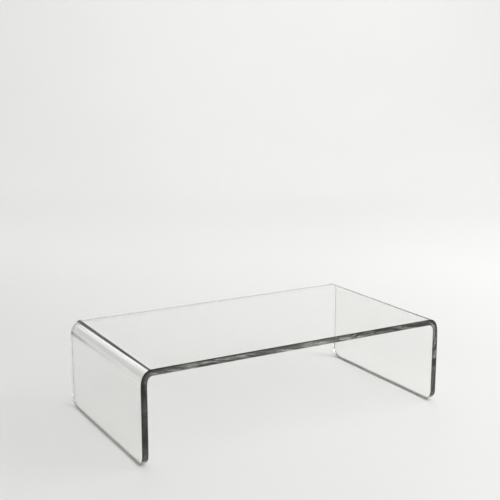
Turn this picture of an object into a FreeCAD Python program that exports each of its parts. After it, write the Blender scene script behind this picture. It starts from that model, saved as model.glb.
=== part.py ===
import FreeCAD, Part
import math
import os

import Sketcher

# A monitor riser: one sheet of clear acrylic, heat-bent twice into a flat deck on two
# upright legs, standing on four small stick-on feet.
#
# Frame: origin at the middle of the footprint on the desk, +X along the deck's width,
# +Y from the front edge to the rear edge, +Z up. Millimetres.

DIMENSIONS = {
    "deck_width": 381.0,          # outside of one leg to the outside of the other
    "deck_depth": 203.2,          # front cut edge to rear cut edge
    "overall_height": 102.8,      # desk to the top of the deck
    "sheet_thickness": 7.0,
    "inner_bend_radius": 7.0,
    "corner_radius": 12.0,        # rounded lower corners of the legs
    "edge_polish_radius": 0.6,    # flame-polished arris along every cut edge
    "foot_diameter": 6.0,
    "foot_thickness": 1.05,
    "foot_rim_radius": 0.4,       # rounded lower rim of a foot
    "adhesive_diameter": 5.6,
    "adhesive_thickness": 0.15,
    "foot_inset": 26.0,           # from a cut edge of the sheet to a foot's centre
}

CORNERS = {
    "front_left": (-1, -1),
    "front_right": (1, -1),
    "rear_left": (-1, 1),
    "rear_right": (1, 1),
}

ORIGIN_POINT = -1                 # Sketcher's geometry index for the sketch's own axes
START, END, CENTRE = 1, 2, 3      # Sketcher's names for the points of a curve


def make_sheet(doc):
    """The spreadsheet that holds every driving dimension, and those derived from them."""
    sheet = doc.addObject("Spreadsheet::Sheet", "Dimensions")
    derived = {
        "outer_bend_radius": "=inner_bend_radius + sheet_thickness",
        "base_height": "=foot_thickness + adhesive_thickness",
        "foot_side": "=deck_width / 2 - sheet_thickness / 2",
        "foot_reach": "=deck_depth / 2 - foot_inset",
    }
    for row, (alias, value) in enumerate({**DIMENSIONS, **derived}.items(), start=1):
        sheet.set(f"A{row}", alias)
        sheet.set(f"B{row}", str(value))
        sheet.setAlias(f"B{row}", alias)
    doc.recompute()
    return sheet


def base_height():
    """How far the feet and their adhesive hold the sheet off the desk."""
    return DIMENSIONS["foot_thickness"] + DIMENSIONS["adhesive_thickness"]


def origin_plane(body, role):
    """The body's own origin plane with this role."""
    for feature in body.Origin.OriginFeatures:
        if feature.Role == role:
            return feature
    raise RuntimeError(f"{body.Label} has no {role}")


def new_body(doc, label):
    body = doc.addObject("PartDesign::Body", label)
    body.Label = label
    return body


def new_sketch(body, name, role):
    """An empty sketch on one of the body's own origin planes."""
    sketch = body.newObject("Sketcher::SketchObject", name)
    sketch.AttachmentSupport = (origin_plane(body, role), [""])
    sketch.MapMode = "FlatFace"
    return sketch


def bind_constraint(sketch, name, constraint, expression):
    """Add a named dimension to a sketch and bind it to the spreadsheet."""
    index = sketch.addConstraint(constraint)
    sketch.renameConstraint(index, name)
    sketch.setExpression(f"Constraints.{name}", expression)


def bend_profile_points():
    """Corner points of the folded sheet's section, outside then inside, left to right."""
    half = DIMENSIONS["deck_width"] / 2
    height = DIMENSIONS["overall_height"]
    thickness = DIMENSIONS["sheet_thickness"]
    outer = DIMENSIONS["inner_bend_radius"] + thickness
    return {
        "half": half,
        "base": base_height(),
        "top": height,
        "inside_half": half - thickness,
        "inside_top": height - thickness,
        "bend_x": half - outer,
        "bend_z": height - outer,
    }


def draw_section(sketch):
    """The sheet's section across its width: two legs, two bends and the deck."""
    at = bend_profile_points()
    inner_radius = DIMENSIONS["inner_bend_radius"]
    outer_radius = inner_radius + DIMENSIONS["sheet_thickness"]

    def point(x, z):
        return FreeCAD.Vector(x, z, 0)

    def line(start, end):
        return sketch.addGeometry(Part.LineSegment(point(*start), point(*end)), False)

    def arc(centre, radius, first, last):
        circle = Part.Circle(point(*centre), FreeCAD.Vector(0, 0, 1), radius)
        return sketch.addGeometry(
            Part.ArcOfCircle(circle, math.radians(first), math.radians(last)), False)

    left_centre = (-at["bend_x"], at["bend_z"])
    right_centre = (at["bend_x"], at["bend_z"])
    left_outside = line((-at["half"], at["base"]), (-at["half"], at["bend_z"]))
    left_bend = arc(left_centre, outer_radius, 90, 180)
    deck_top = line((-at["bend_x"], at["top"]), (at["bend_x"], at["top"]))
    right_bend = arc(right_centre, outer_radius, 0, 90)
    right_outside = line((at["half"], at["bend_z"]), (at["half"], at["base"]))
    right_base = line((at["half"], at["base"]), (at["inside_half"], at["base"]))
    right_inside = line((at["inside_half"], at["base"]), (at["inside_half"], at["bend_z"]))
    right_inner_bend = arc(right_centre, inner_radius, 0, 90)
    deck_underside = line((at["bend_x"], at["inside_top"]), (-at["bend_x"], at["inside_top"]))
    left_inner_bend = arc(left_centre, inner_radius, 90, 180)
    left_inside = line((-at["inside_half"], at["bend_z"]), (-at["inside_half"], at["base"]))
    left_base = line((-at["inside_half"], at["base"]), (-at["half"], at["base"]))

    smooth_joins = [
        (left_outside, END, left_bend, END),
        (left_bend, START, deck_top, START),
        (deck_top, END, right_bend, END),
        (right_bend, START, right_outside, START),
        (right_inside, END, right_inner_bend, START),
        (right_inner_bend, END, deck_underside, START),
        (deck_underside, END, left_inner_bend, START),
        (left_inner_bend, END, left_inside, START),
    ]
    square_joins = [
        (right_outside, END, right_base, START),
        (right_base, END, right_inside, START),
        (left_inside, END, left_base, START),
        (left_base, END, left_outside, START),
    ]
    for join in smooth_joins:
        sketch.addConstraint(Sketcher.Constraint("Tangent", *join))
    for join in square_joins:
        sketch.addConstraint(Sketcher.Constraint("Coincident", *join))
    for edge in (left_outside, left_inside, right_outside, right_inside):
        sketch.addConstraint(Sketcher.Constraint("Vertical", edge))
    for edge in (deck_top, left_base, right_base):
        sketch.addConstraint(Sketcher.Constraint("Horizontal", edge))
    for outer, inner in ((left_bend, left_inner_bend), (right_bend, right_inner_bend)):
        sketch.addConstraint(
            Sketcher.Constraint("Coincident", outer, CENTRE, inner, CENTRE))
    sketch.addConstraint(Sketcher.Constraint("Equal", left_bend, right_bend))
    sketch.addConstraint(Sketcher.Constraint(
        "Symmetric", left_outside, START, right_outside, END, -2))

    bind_constraint(sketch, "Width", Sketcher.Constraint(
        "DistanceX", left_outside, START, right_outside, END, 2 * at["half"]),
        "Dimensions.deck_width")
    bind_constraint(sketch, "Top", Sketcher.Constraint(
        "DistanceY", ORIGIN_POINT, START, deck_top, START, at["top"]),
        "Dimensions.overall_height")
    bind_constraint(sketch, "Base", Sketcher.Constraint(
        "DistanceY", ORIGIN_POINT, START, left_outside, START, at["base"]),
        "Dimensions.base_height")
    bind_constraint(sketch, "Thickness", Sketcher.Constraint(
        "DistanceX", left_base, END, left_base, START, DIMENSIONS["sheet_thickness"]),
        "Dimensions.sheet_thickness")
    bind_constraint(sketch, "OuterBend", Sketcher.Constraint(
        "Radius", left_bend, outer_radius),
        "Dimensions.outer_bend_radius")


def names_of_edges(shape, wanted):
    """FreeCAD's names of the edges that the test picks out."""
    return [f"Edge{number}" for number, edge in enumerate(shape.Edges, start=1)
            if wanted(edge)]


def is_corner_edge(edge):
    """An edge across the sheet's thickness, at the bottom of a leg."""
    box = edge.BoundBox
    return box.ZMax < base_height() + 0.01 and box.YLength < 0.01


def is_cut_face(face):
    """A face the saw made: its normal lies in the sheet's own plane."""
    if face.Surface.TypeId == "Part::GeomCylinder":
        return abs(face.Surface.Axis.x) > 0.9
    normal = face.normalAt(0, 0)
    return abs(normal.y) > 0.9 or abs(normal.z) > 0.9 and face.BoundBox.ZMax < base_height() + 0.01


def names_of_cut_edges(shape):
    """The sharp edges all round the cut outline, on both sides of the sheet."""
    names = []
    for number, edge in enumerate(shape.Edges, start=1):
        faces = shape.ancestorsOfType(edge, Part.Face)
        if len([face for face in faces if is_cut_face(face)]) == 1:
            names.append(f"Edge{number}")
    return names


def make_riser_sheet(doc):
    """The folded sheet: its section padded to depth, corners rounded, arrises polished."""
    body = new_body(doc, "riser_sheet")
    section = new_sketch(body, "SheetSection", "XZ_Plane")
    draw_section(section)
    doc.recompute()

    pad = body.newObject("PartDesign::Pad", "FoldedSheet")
    pad.Profile = section
    pad.Midplane = True
    pad.setExpression("Length", "Dimensions.deck_depth")
    doc.recompute()

    corners = body.newObject("PartDesign::Fillet", "LegCorners")
    corners.Base = (pad, names_of_edges(pad.Shape, is_corner_edge))
    corners.setExpression("Radius", "Dimensions.corner_radius")
    doc.recompute()

    polish = body.newObject("PartDesign::Fillet", "PolishedEdges")
    polish.Base = (corners, names_of_cut_edges(corners.Shape))
    polish.setExpression("Radius", "Dimensions.edge_polish_radius")
    doc.recompute()
    return body


def place_under_leg(piece, side, end, height_expression):
    """Put a small round piece under a leg, this far up from the desk."""
    piece.setExpression("Placement.Base.x", f"{side} * Dimensions.foot_side")
    piece.setExpression("Placement.Base.y", f"{end} * Dimensions.foot_reach")
    piece.setExpression("Placement.Base.z", height_expression)


def make_foot(doc, corner, side, end):
    """A clear bumper: a low disc with a rounded lower rim, standing on the desk."""
    body = new_body(doc, f"foot_{corner}")
    outline = new_sketch(body, f"FootOutline_{corner}", "XY_Plane")
    circle = outline.addGeometry(Part.Circle(
        FreeCAD.Vector(0, 0, 0), FreeCAD.Vector(0, 0, 1), DIMENSIONS["foot_diameter"] / 2))
    outline.addConstraint(Sketcher.Constraint(
        "Coincident", circle, CENTRE, ORIGIN_POINT, START))
    bind_constraint(outline, "Diameter", Sketcher.Constraint(
        "Diameter", circle, DIMENSIONS["foot_diameter"]), "Dimensions.foot_diameter")

    disc = body.newObject("PartDesign::Pad", f"FootDisc_{corner}")
    disc.Profile = outline
    disc.setExpression("Length", "Dimensions.foot_thickness")
    doc.recompute()

    rim = body.newObject("PartDesign::Fillet", f"FootRim_{corner}")
    rim.Base = (disc, names_of_edges(
        disc.Shape, lambda edge: len(edge.Vertexes) == 1 and edge.BoundBox.ZMax < 0.01))
    rim.setExpression("Radius", "Dimensions.foot_rim_radius")
    place_under_leg(body, side, end, "0 * Dimensions.foot_thickness")
    doc.recompute()
    return body


def make_adhesive(doc, corner, side, end):
    """The thin adhesive disc between a foot and the leg above it."""
    disc = doc.addObject("Part::Cylinder", f"adhesive_{corner}")
    disc.Label = f"adhesive_{corner}"
    disc.setExpression("Radius", "Dimensions.adhesive_diameter / 2")
    disc.setExpression("Height", "Dimensions.adhesive_thickness")
    place_under_leg(disc, side, end, "Dimensions.foot_thickness")
    doc.recompute()
    return disc


def check(doc, pieces):
    """Stop if any object failed to compute or any piece is not one sound solid."""
    for item in doc.Objects:
        if "Invalid" in item.State or "Error" in item.State:
            raise RuntimeError(f"{item.Label} failed: {item.State}")
    for piece in pieces:
        shape = piece.Shape
        if shape.isNull() or not shape.isValid() or len(shape.Solids) != 1:
            raise RuntimeError(f"{piece.Label} is not one valid solid")


def check_sheet_volume(piece):
    """Compare the folded sheet with its section times its depth, less the rounding."""
    size = DIMENSIONS
    thickness = size["sheet_thickness"]
    inner = size["inner_bend_radius"]
    outer = inner + thickness
    deck = size["deck_width"] - 2 * outer
    legs = 2 * (size["overall_height"] - base_height() - outer)
    bends = math.pi / 2 * (outer ** 2 - inner ** 2)
    section = (deck + legs) * thickness + bends
    corners = 4 * (1 - math.pi / 4) * size["corner_radius"] ** 2 * thickness
    expected = section * size["deck_depth"] - corners
    ratio = piece.Shape.Volume / expected
    print(f"riser_sheet volume {piece.Shape.Volume:.0f} mm3, {ratio:.5f} of the plain sheet")
    if not 0.998 < ratio < 1.0:
        raise RuntimeError("the folded sheet does not have the volume it should")


def main():
    doc = FreeCAD.newDocument("MonitorRiser")
    make_sheet(doc)
    riser = make_riser_sheet(doc)
    pieces = [riser]
    for corner, (side, end) in CORNERS.items():
        pieces.append(make_foot(doc, corner, side, end))
        pieces.append(make_adhesive(doc, corner, side, end))
    doc.recompute()
    check(doc, pieces)
    check_sheet_volume(riser)

    os.makedirs("parts", exist_ok=True)
    for piece in pieces:
        piece.Shape.exportStep(f"parts/{piece.Label}.step")
        box = piece.Shape.optimalBoundingBox(False, False)
        print(f"{piece.Label}: {box.XLength:.2f} x {box.YLength:.2f} x {box.ZLength:.2f}"
              f" at z {box.ZMin:.2f}, volume {piece.Shape.Volume:.1f}")


main()
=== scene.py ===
import math

import bmesh
import bpy
from mathutils import Matrix, Vector


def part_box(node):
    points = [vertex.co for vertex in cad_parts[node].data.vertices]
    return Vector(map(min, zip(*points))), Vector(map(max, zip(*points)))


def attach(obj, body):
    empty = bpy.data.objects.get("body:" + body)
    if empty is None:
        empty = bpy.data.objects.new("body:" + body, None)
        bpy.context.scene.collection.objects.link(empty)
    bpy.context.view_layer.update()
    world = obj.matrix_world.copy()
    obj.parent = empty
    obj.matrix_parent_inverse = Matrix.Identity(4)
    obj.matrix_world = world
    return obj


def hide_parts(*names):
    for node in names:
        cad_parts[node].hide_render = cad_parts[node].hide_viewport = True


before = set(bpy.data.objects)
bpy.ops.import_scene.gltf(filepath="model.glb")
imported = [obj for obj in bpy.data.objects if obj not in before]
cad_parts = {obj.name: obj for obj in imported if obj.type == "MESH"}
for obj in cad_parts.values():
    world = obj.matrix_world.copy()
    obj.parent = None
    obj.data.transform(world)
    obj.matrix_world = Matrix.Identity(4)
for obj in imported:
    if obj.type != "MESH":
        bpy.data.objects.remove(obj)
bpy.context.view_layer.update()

MM = 0.001
BODY = "root"
CORNERS = ("front_left", "front_right", "rear_left", "rear_right")

# The folded sheet, as it was cut and bent.
THICKNESS = 7.0 * MM
INNER_BEND = 7.0 * MM
OUTER_BEND = INNER_BEND + THICKNESS
CORNER_RADIUS = 12.0 * MM
POLISH_RADIUS = 0.6 * MM
BEND_EASE = 0.95              # the share of a bend over which it eases out of the leg
OUTER_DRIFT = 1.3 * MM        # how much wider a bend is outside at the rear than at the front
INNER_DRIFT = 0.8 * MM        # how much tighter it is inside there
BEND_PINCH = 0.22 * MM        # how far heat-bending draws the cut edge in, outside a bend
SAWN_FACING = 0.50            # the edge is left sawn where it faces down at least this much

# The stick-on feet and their adhesive film.
FOOT_RIM = 0.4 * MM           # the rounding of a foot's lower rim
FOOT_DRAFT = 0.08 * MM        # how much narrower the mould makes a foot towards its rim
FOOT_TOP_ROUND = 0.08 * MM
FILM_GAP = 0.005 * MM         # kept clear between the film and what it sticks to

# How finely the pieces are meshed.
FLAT_STEP = 8.0 * MM
BEND_STEPS = 48
CORNER_STEPS = 14
POLISH_STEPS = 6
EDGE_STEPS = 3
ROW_STEPS = 24
ROUND_STEPS = 64

low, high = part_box("riser_sheet")
HALF_WIDTH = high[0]
HALF_DEPTH = high[1]
BASE = low[2]
TOP = high[2]

FACE_SLOT, EDGE_SLOT, SAWN_SLOT = 0, 1, 2   # the sheet's materials, in this order


# ---------------------------------------------------------------- the folded sheet

def unit_bend(samples=240):
    """The curve of a heat bend, as (rise, run, facing), whose tightest radius is 1.

    It starts straight up a leg, eases into its full curvature and ends level."""
    length = math.pi / 2 / (1 - BEND_EASE / 2)
    step = length / samples
    rise, run, turn = 0.0, 0.0, 0.0
    curve = [(rise, run, (-1.0, 0.0))]
    for i in range(samples):
        part = min((i + 0.5) / samples / BEND_EASE, 1.0)
        curvature = (1 - math.cos(math.pi * part)) / 2
        middle = turn + curvature * step / 2
        rise += math.cos(middle) * step
        run += math.sin(middle) * step
        turn += curvature * step
        curve.append((rise, run, (-math.cos(turn), math.sin(turn))))
    return curve


def corner_cut(curve):
    """How far inside its sharp corner the curve passes, along the diagonal."""
    leg_reach = curve[-1][0]
    return min(math.hypot(leg_reach - rise, run) for rise, run, _ in curve)


CURVE = unit_bend()
ARC_SIZE = (math.sqrt(2) - 1) / corner_cut(CURVE)   # makes the curve cut a corner as an arc does
LEG_REACH = CURVE[-1][0] * ARC_SIZE                 # the curve's extent, for an arc of radius 1
DECK_REACH = CURVE[-1][1] * ARC_SIZE

LEG = TOP - LEG_REACH * OUTER_BEND - BASE           # straight length of a leg
DECK = 2 * (HALF_WIDTH - DECK_REACH * OUTER_BEND)   # straight length of the deck
BEND = (INNER_BEND + THICKNESS / 2) * math.pi / 2   # a bend, along the middle of the sheet
LENGTH = 2 * LEG + 2 * BEND + DECK


def bend_radius(across, outside):
    """A bend's radius outside or inside, and how fast it grows from front to rear."""
    rearward = (across / HALF_DEPTH + 1) / 2
    growth = 1 / (2 * HALF_DEPTH)
    if outside:
        return OUTER_BEND + OUTER_DRIFT * rearward, OUTER_DRIFT * growth
    return INNER_BEND - INNER_DRIFT * rearward, -INNER_DRIFT * growth


def surface_place(distance, across, outside):
    """Where the sheet's outer or inner surface is, at a distance along the flat sheet from
    the left leg's end: its point and outward facing as (x, z), and its lean to the rear."""
    if distance > LENGTH / 2:
        point, facing, lean = surface_place(LENGTH - distance, across, outside)
        return (-point[0], point[1]), (-facing[0], facing[1]), lean
    inset = 0.0 if outside else THICKNESS
    radius, growth = bend_radius(across, outside)
    side = -HALF_WIDTH + inset
    top = TOP - inset
    if distance <= CORNER_RADIUS:
        return (side, BASE + distance), (-1.0, 0.0), 0.0
    if distance <= LEG:
        part = (distance - CORNER_RADIUS) / (LEG - CORNER_RADIUS)
        first = BASE + CORNER_RADIUS
        return (side, first + (top - LEG_REACH * radius - first) * part), (-1.0, 0.0), 0.0
    if distance < LEG + BEND:
        place = (distance - LEG) / BEND * (len(CURVE) - 1)
        rise, run, facing = CURVE[round(place)]
        fall = LEG_REACH - rise * ARC_SIZE
        run = run * ARC_SIZE
        lean = growth * (fall * facing[1] - run * facing[0])
        return (side + radius * run, top - radius * fall), facing, lean
    part = (distance - LEG - BEND) / (DECK / 2)
    start = side + DECK_REACH * radius
    return (start - start * part, top), (0.0, 1.0), 0.0


def bend_part(distance):
    """How far into a bend a place is, from 0 at its ends to 1 at its middle."""
    from_start = min(distance, LENGTH - distance) - LEG
    return math.sin(math.pi * min(max(from_start / BEND, 0.0), 1.0))


def fold(distance, across, depth):
    """A point of the flat sheet, folded: depth is 0 on the inner face, THICKNESS outside."""
    part = depth / THICKNESS
    inner, _, _ = surface_place(distance, across, outside=False)
    outer, _, _ = surface_place(distance, across, outside=True)
    x = inner[0] + (outer[0] - inner[0]) * part
    z = inner[1] + (outer[1] - inner[1]) * part
    pinch = BEND_PINCH * bend_part(distance) * part * across / HALF_DEPTH
    return Vector((x, across - pinch, z))


def fold_direction(distance, across, depth, along, sideways, out):
    """A direction of the flat sheet, folded: along it, sideways to the rear and out of it."""
    _, facing, lean = surface_place(distance, across, outside=depth > THICKNESS / 2)
    x = facing[1] * along + facing[0] * out
    z = -facing[0] * along + facing[1] * out
    return Vector((x, sideways + lean * out, z)).normalized()


def evenly(start, end, steps):
    """The places from just after start up to end."""
    return [start + (end - start) * i / steps for i in range(1, steps + 1)]


def straight_stations():
    """Distances along the sheet between its two rounded ends."""
    bend_start = LEG
    deck_start = bend_start + BEND
    deck_end = deck_start + DECK
    bend_end = deck_end + BEND
    leg_steps = round((LEG - CORNER_RADIUS) / FLAT_STEP)
    stations = evenly(CORNER_RADIUS, bend_start, leg_steps)
    stations += evenly(bend_start, deck_start, BEND_STEPS)
    stations += evenly(deck_start, deck_end, round(DECK / FLAT_STEP))
    stations += evenly(deck_end, bend_end, BEND_STEPS)
    stations += evenly(bend_end, LENGTH - CORNER_RADIUS, leg_steps)
    return stations[:-1]


def outline():
    """The cut outline: one entry per station, as (distance, half depth, along, across).

    along and across are the outward direction at the rear edge there; the front edge is
    its mirror image."""
    turns = [math.pi / 2 * i / CORNER_STEPS for i in range(CORNER_STEPS + 1)]
    shoulder = HALF_DEPTH - CORNER_RADIUS
    first_end = [
        (CORNER_RADIUS * (1 - math.cos(turn)), shoulder + CORNER_RADIUS * math.sin(turn),
         -math.cos(turn), math.sin(turn))
        for turn in turns]
    middle = [(distance, HALF_DEPTH, 0.0, 1.0) for distance in straight_stations()]
    last_end = [(LENGTH - distance, half, -along, across)
                for distance, half, along, across in reversed(first_end)]
    return first_end + middle + last_end


def edge_section():
    """The cut edge's section, outside to inside: (inset, depth, outward, facing)."""
    section = []
    for i in range(POLISH_STEPS + 1):
        turn = math.pi / 2 * i / POLISH_STEPS
        section.append((POLISH_RADIUS * (1 - math.sin(turn)),
                        THICKNESS - POLISH_RADIUS * (1 - math.cos(turn)),
                        math.sin(turn), math.cos(turn)))
    for i in range(1, EDGE_STEPS):
        depth = THICKNESS - POLISH_RADIUS
        depth -= (THICKNESS - 2 * POLISH_RADIUS) * i / EDGE_STEPS
        section.append((0.0, depth, 1.0, 0.0))
    for inset, depth, outward, facing in reversed(section[:POLISH_STEPS + 1]):
        section.append((inset, THICKNESS - depth, outward, -facing))
    return section


class SheetBuilder:
    """Collects the sheet's vertices with their exact normals, then its faces."""

    def __init__(self):
        self.mesh = bmesh.new()
        self.layer = self.mesh.loops.layers.uv.new("sheet_map")
        self.normals = []
        self.flat = {}

    def add(self, distance, across, depth, direction, flat_place):
        vertex = self.mesh.verts.new(fold(distance, across, depth))
        self.normals.append(direction)
        self.flat[vertex] = flat_place
        return vertex

    def face(self, corners, material, places=None):
        face = self.mesh.faces.new(corners)
        face.smooth = True
        face.material_index = material
        for loop, place in zip(face.loops, places or [self.flat[v] for v in corners]):
            loop[self.layer].uv = place
        return face


def add_edge_loops(builder, stations, section):
    """Every vertex of the cut edge, as rings[k][i]: k through the thickness, i round it.

    Also how far round it each one is, and whether the edge from it on is a sawn end."""
    ring_places = []
    for distance, half, along, across in stations:
        ring_places.append((distance, -half, along, -across))
    last_half = stations[-1][1]
    for j in range(1, ROW_STEPS):
        ring_places.append((LENGTH, last_half * (2 * j / ROW_STEPS - 1), 1.0, 0.0))
    for distance, half, along, across in reversed(stations):
        ring_places.append((distance, half, along, across))
    first_half = stations[0][1]
    for j in range(1, ROW_STEPS):
        ring_places.append((0.0, first_half * (1 - 2 * j / ROW_STEPS), -1.0, 0.0))

    rings = []
    for inset, depth, outward, facing in section:
        ring = []
        for distance, y, along, across in ring_places:
            s = distance - along * inset
            direction = fold_direction(
                distance, y, depth, along * outward, across * outward, facing)
            ring.append(builder.add(s, y - across * inset, depth, direction, (s, y)))
        rings.append(ring)

    walked = [0.0]
    for i in range(1, len(ring_places) + 1):
        here = ring_places[i % len(ring_places)]
        before = ring_places[i - 1]
        walked.append(walked[-1] + math.hypot(here[0] - before[0], here[1] - before[1]))
    ends = [abs(along) > SAWN_FACING for _, _, along, _ in ring_places]
    sawn = [ends[i] and ends[(i + 1) % len(ends)] for i in range(len(ends))]
    return rings, walked, sawn


def add_edge_faces(builder, rings, walked, sawn, section):
    """The cut edge's faces. Their map runs round the outline and through the thickness."""
    count = len(rings[0])
    for k in range(len(rings) - 1):
        for i in range(count):
            j = (i + 1) % count
            corners = [rings[k][i], rings[k + 1][i], rings[k + 1][j], rings[k][j]]
            places = [(walked[i], section[k][1]), (walked[i], section[k + 1][1]),
                      (walked[i + 1], section[k + 1][1]), (walked[i + 1], section[k][1])]
            builder.face(corners, SAWN_SLOT if sawn[i] else EDGE_SLOT, places)


def add_broad_face(builder, ring, stations, outside):
    """One broad face: a row of vertices across the sheet at every station."""
    count = len(stations)
    depth = THICKNESS if outside else 0.0
    facing = 1.0 if outside else -1.0
    rear = [ring[2 * count + ROW_STEPS - 2 - i] for i in range(count)]
    rows = []
    for i, (distance, half, along, across) in enumerate(stations):
        if i == 0:
            ends = ring[2 * count + ROW_STEPS - 1:]
            rows.append([ring[0]] + list(reversed(ends)) + [rear[0]])
            continue
        if i == count - 1:
            rows.append(ring[count - 1:count + ROW_STEPS - 1] + [rear[i]])
            continue
        s = distance - along * POLISH_RADIUS
        reach = half - across * POLISH_RADIUS
        row = [ring[i]]
        for j in range(1, ROW_STEPS):
            y = reach * (2 * j / ROW_STEPS - 1)
            direction = fold_direction(distance, y, depth, 0.0, 0.0, facing)
            row.append(builder.add(s, y, depth, direction, (s, y)))
        rows.append(row + [rear[i]])
    for here, after in zip(rows, rows[1:]):
        for j in range(ROW_STEPS):
            corners = [here[j], after[j], after[j + 1], here[j + 1]]
            builder.face(corners if outside else corners[::-1], FACE_SLOT)


def build_sheet():
    builder = SheetBuilder()
    stations = outline()
    section = edge_section()
    rings, walked, sawn = add_edge_loops(builder, stations, section)
    add_edge_faces(builder, rings, walked, sawn, section)
    add_broad_face(builder, rings[0], stations, outside=True)
    add_broad_face(builder, rings[-1], stations, outside=False)

    mesh = bpy.data.meshes.new("riser_sheet_clear")
    builder.mesh.to_mesh(mesh)
    builder.mesh.free()
    mesh.normals_split_custom_set_from_vertices(builder.normals)
    piece = bpy.data.objects.new("riser_sheet_clear", mesh)
    bpy.context.collection.objects.link(piece)
    return piece


# ---------------------------------------------------------------- feet and adhesive

def arc_points(centre, size, first, last, steps):
    """Points of a quarter or half circle as (radius, height), turning from first to last."""
    turns = [first + (last - first) * i / steps for i in range(steps + 1)]
    return [(centre[0] + size * math.cos(turn), centre[1] + size * math.sin(turn))
            for turn in turns]


def spun(name, profile, centre):
    """A solid of revolution about a vertical axis: profile is (radius, height) pairs."""
    mesh_data = bmesh.new()
    rings = []
    for radius, height in profile:
        if radius == 0:
            rings.append([mesh_data.verts.new((centre[0], centre[1], height))])
            continue
        ring = []
        for i in range(ROUND_STEPS):
            turn = 2 * math.pi * i / ROUND_STEPS
            ring.append(mesh_data.verts.new((
                centre[0] + radius * math.cos(turn),
                centre[1] + radius * math.sin(turn), height)))
        rings.append(ring)
    for lower, upper in zip(rings, rings[1:]):
        for i in range(ROUND_STEPS):
            j = (i + 1) % ROUND_STEPS
            if len(lower) == 1:
                mesh_data.faces.new((lower[0], upper[j], upper[i]))
            elif len(upper) == 1:
                mesh_data.faces.new((lower[i], lower[j], upper[0]))
            else:
                mesh_data.faces.new((lower[i], lower[j], upper[j], upper[i]))
    for face in mesh_data.faces:
        face.smooth = True
    mesh = bpy.data.meshes.new(name)
    mesh_data.to_mesh(mesh)
    mesh_data.free()
    piece = bpy.data.objects.new(name, mesh)
    bpy.context.collection.objects.link(piece)
    return piece


def foot_profile(radius, bottom, top):
    """A moulded bumper: flat underneath, a rounded rim and slightly drafted sides."""
    rim_centre = (radius - FOOT_DRAFT - FOOT_RIM, bottom + FOOT_RIM)
    top_centre = (radius - FOOT_TOP_ROUND, top - FOOT_TOP_ROUND)
    profile = [(0.0, bottom), (radius / 2, bottom)]
    profile += arc_points(rim_centre, FOOT_RIM, -math.pi / 2, 0.0, steps=8)
    profile += arc_points(top_centre, FOOT_TOP_ROUND, 0.0, math.pi / 2, steps=4)
    return profile + [(radius / 2, top), (0.0, top)]


def adhesive_profile(radius, bottom, top):
    """A die-cut film: its rim bulges a little where it is squeezed."""
    bulge = (top - bottom) / 2
    profile = [(0.0, bottom), (radius / 2, bottom)]
    profile += arc_points((radius - bulge, bottom + bulge), bulge,
                          -math.pi / 2, math.pi / 2, steps=6)
    return profile + [(radius / 2, top), (0.0, top)]


def round_place(low, high):
    """What the box of a round node says of it: its centre, radius, bottom and top."""
    centre = ((low[0] + high[0]) / 2, (low[1] + high[1]) / 2)
    return centre, (high[0] - low[0]) / 2, low[2], high[2]


def build_foot(corner):
    centre, radius, bottom, top = round_place(*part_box(f"foot_{corner}"))
    return spun(f"bumper_{corner}", foot_profile(radius, bottom, top), centre)


def build_adhesive(corner):
    centre, radius, bottom, top = round_place(*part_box(f"adhesive_{corner}"))
    profile = adhesive_profile(radius, bottom + FILM_GAP, top - FILM_GAP)
    return spun(f"film_{corner}", profile, centre)


# ---------------------------------------------------------------- materials

ACRYLIC_INDEX = 1.49
BUMPER_INDEX = 1.50
FILM_INDEX = 1.47
STREAK_SLOPE = 0.20   # how far a cut edge's streaks climb as they run on
SAWN_CLARITY = 0.45   # how much light still goes through a sawn end

# The body absorbs BODY_DENSITY x (1 - BODY_COLOUR) of each colour, per metre.
BODY_COLOUR = (0.62, 0.64, 0.61)
BODY_DENSITY = 2.2


def grey(level):
    return (level, level, level)


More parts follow.
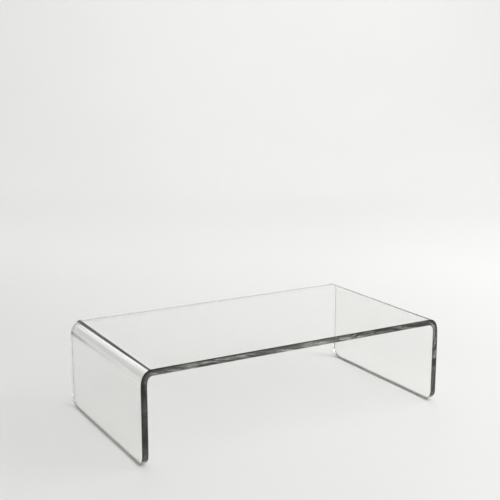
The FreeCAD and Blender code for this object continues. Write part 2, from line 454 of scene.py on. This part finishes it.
class Nodes:
    """A short way to write a node tree.

    A texture's scale is in cells per metre, because every map here is in metres."""

    def __init__(self, tree):
        self.tree = tree
        tree.nodes.clear()

    def add(self, kind, **settings):
        node = self.tree.nodes.new(kind)
        for name, value in settings.items():
            setattr(node, name, value)
        return node

    def link(self, source, target):
        self.tree.links.new(source, target)

    def noise(self, vector, scale=1.0, detail=2.0, roughness=0.5):
        """Noise between 0 and 1."""
        node = self.add("ShaderNodeTexNoise")
        node.inputs["Scale"].default_value = scale
        node.inputs["Detail"].default_value = detail
        node.inputs["Roughness"].default_value = roughness
        self.link(vector, node.inputs["Vector"])
        return node.outputs["Fac"]

    def stretched(self, vector, scale):
        """The same map with its own scale along each axis."""
        node = self.add("ShaderNodeMapping")
        node.inputs["Scale"].default_value = scale
        self.link(vector, node.inputs["Vector"])
        return node.outputs["Vector"]

    def ramp(self, value, stops):
        """Turn a number into a colour through (position, colour) stops."""
        node = self.add("ShaderNodeValToRGB")
        elements = node.color_ramp.elements
        while len(elements) < len(stops):
            elements.new(0.5)
        for element, (position, colour) in zip(elements, stops):
            element.position = position
            element.color = (*colour, 1.0)
        self.link(value, node.inputs["Fac"])
        return node.outputs["Color"]

    def rescale(self, value, before, after):
        """Turn the range before into the range after, and hold it at both ends."""
        node = self.add("ShaderNodeMapRange")
        node.inputs["From Min"].default_value, node.inputs["From Max"].default_value = before
        node.inputs["To Min"].default_value, node.inputs["To Max"].default_value = after
        self.link(value, node.inputs["Value"])
        return node.outputs["Result"]

    def maths(self, operation, first, second):
        node = self.add("ShaderNodeMath", operation=operation)
        for socket, value in zip(node.inputs, (first, second)):
            if isinstance(value, (int, float)):
                socket.default_value = value
            else:
                self.link(value, socket)
        return node.outputs["Value"]

    def multiply(self, first, second):
        """The product of two colours, which the node keeps in sockets 6 and 7."""
        node = self.add("ShaderNodeMix", data_type="RGBA", blend_type="MULTIPLY")
        node.inputs["Factor"].default_value = 1.0
        self.link(first, node.inputs[6])
        self.link(second, node.inputs[7])
        return node.outputs[2]

    def bump(self, height, distance, normal=None):
        """Relief this deep, on top of another normal if one is given."""
        node = self.add("ShaderNodeBump")
        node.inputs["Strength"].default_value = 1.0
        node.inputs["Distance"].default_value = distance
        self.link(height, node.inputs["Height"])
        if normal is not None:
            self.link(normal, node.inputs["Normal"])
        return node.outputs["Normal"]

    def output(self, surface, volume=None):
        node = self.add("ShaderNodeOutputMaterial")
        self.link(surface, node.inputs["Surface"])
        if volume is not None:
            self.link(volume, node.inputs["Volume"])


def new_material(name):
    material = bpy.data.materials.new(name)
    material.use_nodes = True
    return material, Nodes(material.node_tree)


def clear_shader(nodes, index):
    """A clear solid with this refractive index."""
    shader = nodes.add("ShaderNodeBsdfPrincipled")
    shader.inputs["Transmission Weight"].default_value = 1.0
    shader.inputs["IOR"].default_value = index
    return shader


def acrylic_body(nodes):
    """The faint green-grey that acrylic takes on with depth."""
    volume = nodes.add("ShaderNodeVolumeAbsorption")
    volume.inputs["Color"].default_value = (*BODY_COLOUR, 1.0)
    volume.inputs["Density"].default_value = BODY_DENSITY
    return volume.outputs["Volume"]


def acrylic_face_material():
    """Broad faces: clear, with faint waviness from casting and a few wiped smudges."""
    material, nodes = new_material("clear_acrylic_face")
    place = nodes.add("ShaderNodeTexCoord").outputs["Object"]
    shader = clear_shader(nodes, ACRYLIC_INDEX)

    smudge = nodes.noise(nodes.stretched(place, (1.0, 2.2, 1.0)),
                         scale=26.0, detail=3.0, roughness=0.62)
    wiped = nodes.rescale(smudge, (0.52, 0.78), (0.0, 0.028))
    nodes.link(wiped, shader.inputs["Roughness"])

    tint = nodes.ramp(smudge, [(0.3, (0.958, 0.961, 0.950)), (0.75, (0.938, 0.941, 0.929))])
    nodes.link(tint, shader.inputs["Base Color"])

    wave = nodes.noise(place, scale=9.0, detail=1.0, roughness=0.4)
    ripple = nodes.noise(place, scale=55.0, detail=1.0, roughness=0.4)
    normal = nodes.bump(wave, 0.10 * MM)
    normal = nodes.bump(ripple, 0.004 * MM, normal=normal)
    nodes.link(normal, shader.inputs["Normal"])
    nodes.output(shader.outputs["BSDF"], acrylic_body(nodes))
    return material


def acrylic_edge_painted_shade_material():
    """Cut edges: flame-polished, with slanting streaks, and painted shade: near-black along the
    outer arris, darker along the inner one and in black patches, standing in for the dark
    reflections a clear edge shows.
    """
    material, nodes = new_material("clear_acrylic_edge_painted_shade")
    flat = nodes.add("ShaderNodeUVMap", uv_map="sheet_map").outputs["UV"]
    shader = clear_shader(nodes, ACRYLIC_INDEX)

    split = nodes.add("ShaderNodeSeparateXYZ")
    nodes.link(flat, split.inputs["Vector"])
    walk, depth = split.outputs["X"], split.outputs["Y"]
    height = nodes.maths("DIVIDE", depth, THICKNESS)

    drifted = nodes.maths("ADD", depth, nodes.maths("MULTIPLY", walk, STREAK_SLOPE))
    join = nodes.add("ShaderNodeCombineXYZ")
    nodes.link(walk, join.inputs["X"])
    nodes.link(drifted, join.inputs["Y"])
    slanted = join.outputs["Vector"]
    streaks = nodes.noise(nodes.stretched(slanted, (16.0, 560.0, 1.0)), roughness=0.6)
    layers = nodes.noise(nodes.stretched(flat, (11.0, 330.0, 1.0)), detail=1.0)
    patches = nodes.noise(nodes.stretched(slanted, (30.0, 150.0, 1.0)), detail=1.0)
    grain = nodes.noise(nodes.stretched(flat, (700.0, 900.0, 1.0)), roughness=0.6)

    # Painted shade: the streaks run down to near-black, the patches to black and the outer rim
    # to near-black, in place of the dark reflections a clear polished edge shows; the streaks'
    # slanting pattern itself is the edge's own marks.
    streaks_and_painted_shade = nodes.ramp(streaks, [(0.38, (0.050, 0.050, 0.048)), (0.50, (0.33, 0.33, 0.305)),
                                (0.62, (1.0, 1.0, 0.93))])
    layered = nodes.ramp(layers, [(0.40, (0.30, 0.30, 0.29)), (0.56, grey(1.0))])
    painted_dark_patches = nodes.ramp(patches, [(0.36, grey(0.02)), (0.46, grey(1.0))])
    painted_dark_rims = nodes.ramp(height, [(0.06, grey(0.80)), (0.16, grey(1.0)),
                                 (0.60, grey(0.85)), (0.90, grey(0.015))])
    grained = nodes.ramp(grain, [(0.3, grey(0.82)), (0.7, grey(1.0))])
    tint = streaks_and_painted_shade
    for share in (layered, painted_dark_patches, painted_dark_rims, grained):
        tint = nodes.multiply(tint, share)
    nodes.link(tint, shader.inputs["Base Color"])

    rough = nodes.rescale(grain, (0.3, 0.75), (0.0, 0.05))
    nodes.link(rough, shader.inputs["Roughness"])

    sag = nodes.noise(nodes.stretched(flat, (60.0, 200.0, 1.0)), detail=1.0)
    normal = nodes.bump(streaks, 0.004 * MM)
    normal = nodes.bump(sag, 0.03 * MM, normal=normal)
    nodes.link(normal, shader.inputs["Normal"])
    nodes.output(shader.outputs["BSDF"], acrylic_body(nodes))
    return material


def sawn_edge_material():
    """The two lower ends of the sheet: sawn and sanded, so they are a satin grey."""
    material, nodes = new_material("sawn_acrylic_edge")
    flat = nodes.add("ShaderNodeUVMap", uv_map="sheet_map").outputs["UV"]
    shader = clear_shader(nodes, ACRYLIC_INDEX)
    shader.inputs["Transmission Weight"].default_value = SAWN_CLARITY
    marks = nodes.noise(nodes.stretched(flat, (1500.0, 60.0, 1.0)), detail=3.0, roughness=0.6)
    worn = nodes.noise(nodes.stretched(flat, (40.0, 130.0, 1.0)))
    tint = nodes.multiply(
        nodes.ramp(marks, [(0.32, (0.66, 0.66, 0.64)), (0.68, (0.84, 0.84, 0.82))]),
        nodes.ramp(worn, [(0.35, grey(0.70)), (0.65, grey(1.0))]))
    nodes.link(tint, shader.inputs["Base Color"])
    nodes.link(nodes.rescale(marks, (0.3, 0.7), (0.30, 0.48)), shader.inputs["Roughness"])
    nodes.link(nodes.bump(marks, 0.02 * MM), shader.inputs["Normal"])
    nodes.output(shader.outputs["BSDF"], acrylic_body(nodes))
    return material


def bumper_material():
    """Soft clear polyurethane: slightly hazy, with moulding texture."""
    material, nodes = new_material("clear_bumper")
    place = nodes.add("ShaderNodeTexCoord").outputs["Object"]
    shader = clear_shader(nodes, BUMPER_INDEX)
    haze = nodes.noise(place, scale=900.0, detail=3.0, roughness=0.6)
    grain = nodes.noise(place, scale=4200.0)
    nodes.link(nodes.rescale(haze, (0.3, 0.7), (0.10, 0.22)), shader.inputs["Roughness"])
    tint = nodes.ramp(haze, [(0.3, (0.96, 0.965, 0.955)), (0.7, (0.90, 0.905, 0.895))])
    nodes.link(tint, shader.inputs["Base Color"])
    nodes.link(nodes.bump(grain, 0.01 * MM), shader.inputs["Normal"])
    nodes.output(shader.outputs["BSDF"])
    return material


def film_material():
    """Clear adhesive film: milky where it is thin and full of tiny trapped air."""
    material, nodes = new_material("clear_adhesive")
    place = nodes.add("ShaderNodeTexCoord").outputs["Object"]
    shader = clear_shader(nodes, FILM_INDEX)
    air = nodes.noise(place, scale=2600.0, detail=4.0, roughness=0.65)
    nodes.link(nodes.rescale(air, (0.35, 0.7), (0.22, 0.5)), shader.inputs["Roughness"])
    tint = nodes.ramp(air, [(0.35, (0.93, 0.93, 0.91)), (0.7, (0.84, 0.84, 0.82))])
    nodes.link(tint, shader.inputs["Base Color"])
    nodes.link(nodes.bump(air, 0.008 * MM), shader.inputs["Normal"])
    nodes.output(shader.outputs["BSDF"])
    return material


def floor_material():
    """A pale, faintly satin studio surface."""
    material, nodes = new_material("studio_floor")
    place = nodes.add("ShaderNodeTexCoord").outputs["Object"]
    shader = nodes.add("ShaderNodeBsdfPrincipled")
    cloud = nodes.noise(place, scale=1.6)
    tint = nodes.ramp(cloud, [(0.3, (0.800, 0.800, 0.790)), (0.7, (0.825, 0.825, 0.815))])
    nodes.link(tint, shader.inputs["Base Color"])
    shader.inputs["Roughness"].default_value = 0.42
    shader.inputs["Specular IOR Level"].default_value = 0.25
    nodes.output(shader.outputs["BSDF"])
    return material


# ---------------------------------------------------------------- studio

CAMERA_PLACE = Vector((-0.5447, -0.9259, 0.4131))
CAMERA_HEADING = math.radians(30.13)   # to the right of +Y
CAMERA_DIP = math.radians(11.93)
CAMERA_ROLL = math.radians(0.10)
CAMERA_LENS = 68.6                     # millimetres, on a 36 mm sensor

# The sweep, square to the camera, in metres from the stand.
SWEEP_HALF_WIDTH = 7.0
SWEEP_WALL_LEFT = 1.9                  # its wall ends here, short of the dim corner
SWEEP_FRONT = -9.0
SWEEP_BACK = 2.2
SWEEP_CURVE = 0.8
SWEEP_HEIGHT = 3.2
SWEEP_STEPS = 16

WORLD_STRENGTH = 0.735
DIM_CORNER = Vector((-0.495, 0.857, 0.14)).normalized()   # towards the room's left rear


def heading_axes(heading):
    """The level directions forward and to the right, for a compass heading from +Y."""
    return (Vector((math.sin(heading), math.cos(heading), 0.0)),
            Vector((math.cos(heading), -math.sin(heading), 0.0)))


def build_sweep(material):
    """A seamless floor that curves up behind the stand, square to the camera."""
    forward, sideways = heading_axes(CAMERA_HEADING)
    flat_end = SWEEP_BACK - SWEEP_CURVE
    profile = [(SWEEP_FRONT, 0.0), (flat_end, 0.0)]
    for i in range(1, SWEEP_STEPS + 1):
        turn = math.pi / 2 * i / SWEEP_STEPS
        profile.append((flat_end + SWEEP_CURVE * math.sin(turn),
                        SWEEP_CURVE - SWEEP_CURVE * math.cos(turn)))
    profile.append((SWEEP_BACK, SWEEP_HEIGHT))
    mesh_data = bmesh.new()
    rows = []
    for reach, rise in profile:
        middle = forward * reach + Vector((0.0, 0.0, rise))
        left = SWEEP_HALF_WIDTH if rise == 0 else SWEEP_WALL_LEFT
        rows.append([mesh_data.verts.new(middle - sideways * left),
                     mesh_data.verts.new(middle + sideways * SWEEP_HALF_WIDTH)])
    for here, after in zip(rows, rows[1:]):
        face = mesh_data.faces.new((here[0], here[1], after[1], after[0]))
        face.smooth = True
    mesh = bpy.data.meshes.new("studio_sweep")
    mesh_data.to_mesh(mesh)
    mesh_data.free()
    sweep = bpy.data.objects.new("studio_sweep", mesh)
    sweep.data.materials.append(material)
    bpy.context.collection.objects.link(sweep)


def soft_light(name, place, aim, size, watts):
    """A white rectangular softbox at a place, turned to face another."""
    lamp = bpy.data.lights.new(name, "AREA")
    lamp.shape = "RECTANGLE"
    lamp.size, lamp.size_y = size
    lamp.energy = watts
    holder = bpy.data.objects.new(name, lamp)
    holder.location = place
    holder.rotation_euler = (Vector(aim) - Vector(place)).to_track_quat("-Z", "Y").to_euler()
    bpy.context.collection.objects.link(holder)


def build_lights():
    """A large key from the right, a small light for the left bend, one for the wall."""
    forward, sideways = heading_axes(CAMERA_HEADING)
    soft_light("key", place=(1.30, -0.70, 1.10), aim=(0.10, 0.0, 0.05),
               size=(1.3, 1.0), watts=18.5)
    soft_light("shoulder", place=(-0.34, 1.45, 0.84), aim=(-0.185, 0.0, 0.1),
               size=(0.30, 0.25), watts=0.36)
    soft_light("backdrop", place=forward * 0.5 + sideways * 0.1 + Vector((0.0, 0.0, 1.6)),
               aim=forward * 2.2 + sideways * 0.2 + Vector((0.0, 0.0, 1.3)),
               size=(2.6, 0.6), watts=12.2)


def studio_world():
    """Soft light from above that falls off to a pale grey room near the horizon.

    One corner of the room is dim, so that a bend has something to mirror."""
    world = bpy.data.worlds.new("studio")
    world.use_nodes = True
    nodes = Nodes(world.node_tree)
    direction = nodes.add("ShaderNodeTexCoord").outputs["Generated"]
    split = nodes.add("ShaderNodeSeparateXYZ")
    nodes.link(direction, split.inputs["Vector"])
    rise = split.outputs["Z"]
    room = nodes.ramp(rise, [(0.0, grey(0.80)), (0.15, grey(0.84)),
                             (0.45, grey(0.92)), (1.0, grey(1.02))])
    towards = nodes.add("ShaderNodeVectorMath", operation="DOT_PRODUCT")
    nodes.link(direction, towards.inputs[0])
    towards.inputs[1].default_value = DIM_CORNER
    dimmed = nodes.ramp(towards.outputs["Value"], [(0.94, grey(1.0)), (0.985, grey(0.04))])
    horizon = nodes.ramp(rise, [(0.0, grey(1.0)), (0.02, grey(0.0))])
    kept = nodes.add("ShaderNodeVectorMath", operation="MAXIMUM")
    nodes.link(dimmed, kept.inputs[0])
    nodes.link(horizon, kept.inputs[1])
    background = nodes.add("ShaderNodeBackground")
    nodes.link(nodes.multiply(room, kept.outputs["Vector"]), background.inputs["Color"])
    background.inputs["Strength"].default_value = WORLD_STRENGTH
    output = nodes.add("ShaderNodeOutputWorld")
    nodes.link(background.outputs["Background"], output.inputs["Surface"])
    bpy.context.scene.world = world


def build_camera():
    """A short telephoto looking down at the stand from the front left."""
    forward, sideways = heading_axes(CAMERA_HEADING)
    ahead = forward * math.cos(CAMERA_DIP) - Vector((0.0, 0.0, math.sin(CAMERA_DIP)))
    upright = sideways.cross(ahead)
    right = sideways * math.cos(CAMERA_ROLL) + upright * math.sin(CAMERA_ROLL)
    up = upright * math.cos(CAMERA_ROLL) - sideways * math.sin(CAMERA_ROLL)
    lens = bpy.data.cameras.new("camera")
    lens.lens = CAMERA_LENS
    lens.sensor_width = 36.0
    lens.clip_start = 0.01
    holder = bpy.data.objects.new("camera", lens)
    holder.matrix_world = (Matrix.Translation(CAMERA_PLACE)
                           @ Matrix((right, up, -ahead)).transposed().to_4x4())
    bpy.context.collection.objects.link(holder)
    bpy.context.scene.camera = holder


# ---------------------------------------------------------------- putting it together

sheet = build_sheet()
sheet.data.materials.append(acrylic_face_material())
sheet.data.materials.append(acrylic_edge_painted_shade_material())
sheet.data.materials.append(sawn_edge_material())
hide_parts("riser_sheet")
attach(sheet, BODY)

bumper_look = bumper_material()
film_look = film_material()
for corner in CORNERS:
    foot = build_foot(corner)
    foot.data.materials.append(bumper_look)
    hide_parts(f"foot_{corner}")
    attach(foot, BODY)

    film = build_adhesive(corner)
    film.data.materials.append(film_look)
    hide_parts(f"adhesive_{corner}")
    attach(film, BODY)

build_sweep(floor_material())
studio_world()
build_lights()
build_camera()

scene = bpy.context.scene
scene.view_settings.view_transform = "Standard"
scene.view_settings.look = "None"
scene.cycles.max_bounces = 32
scene.cycles.transmission_bounces = 32
scene.cycles.glossy_bounces = 16
scene.cycles.caustics_refractive = True
scene.cycles.caustics_reflective = True
scene.cycles.blur_glossy = 0.0
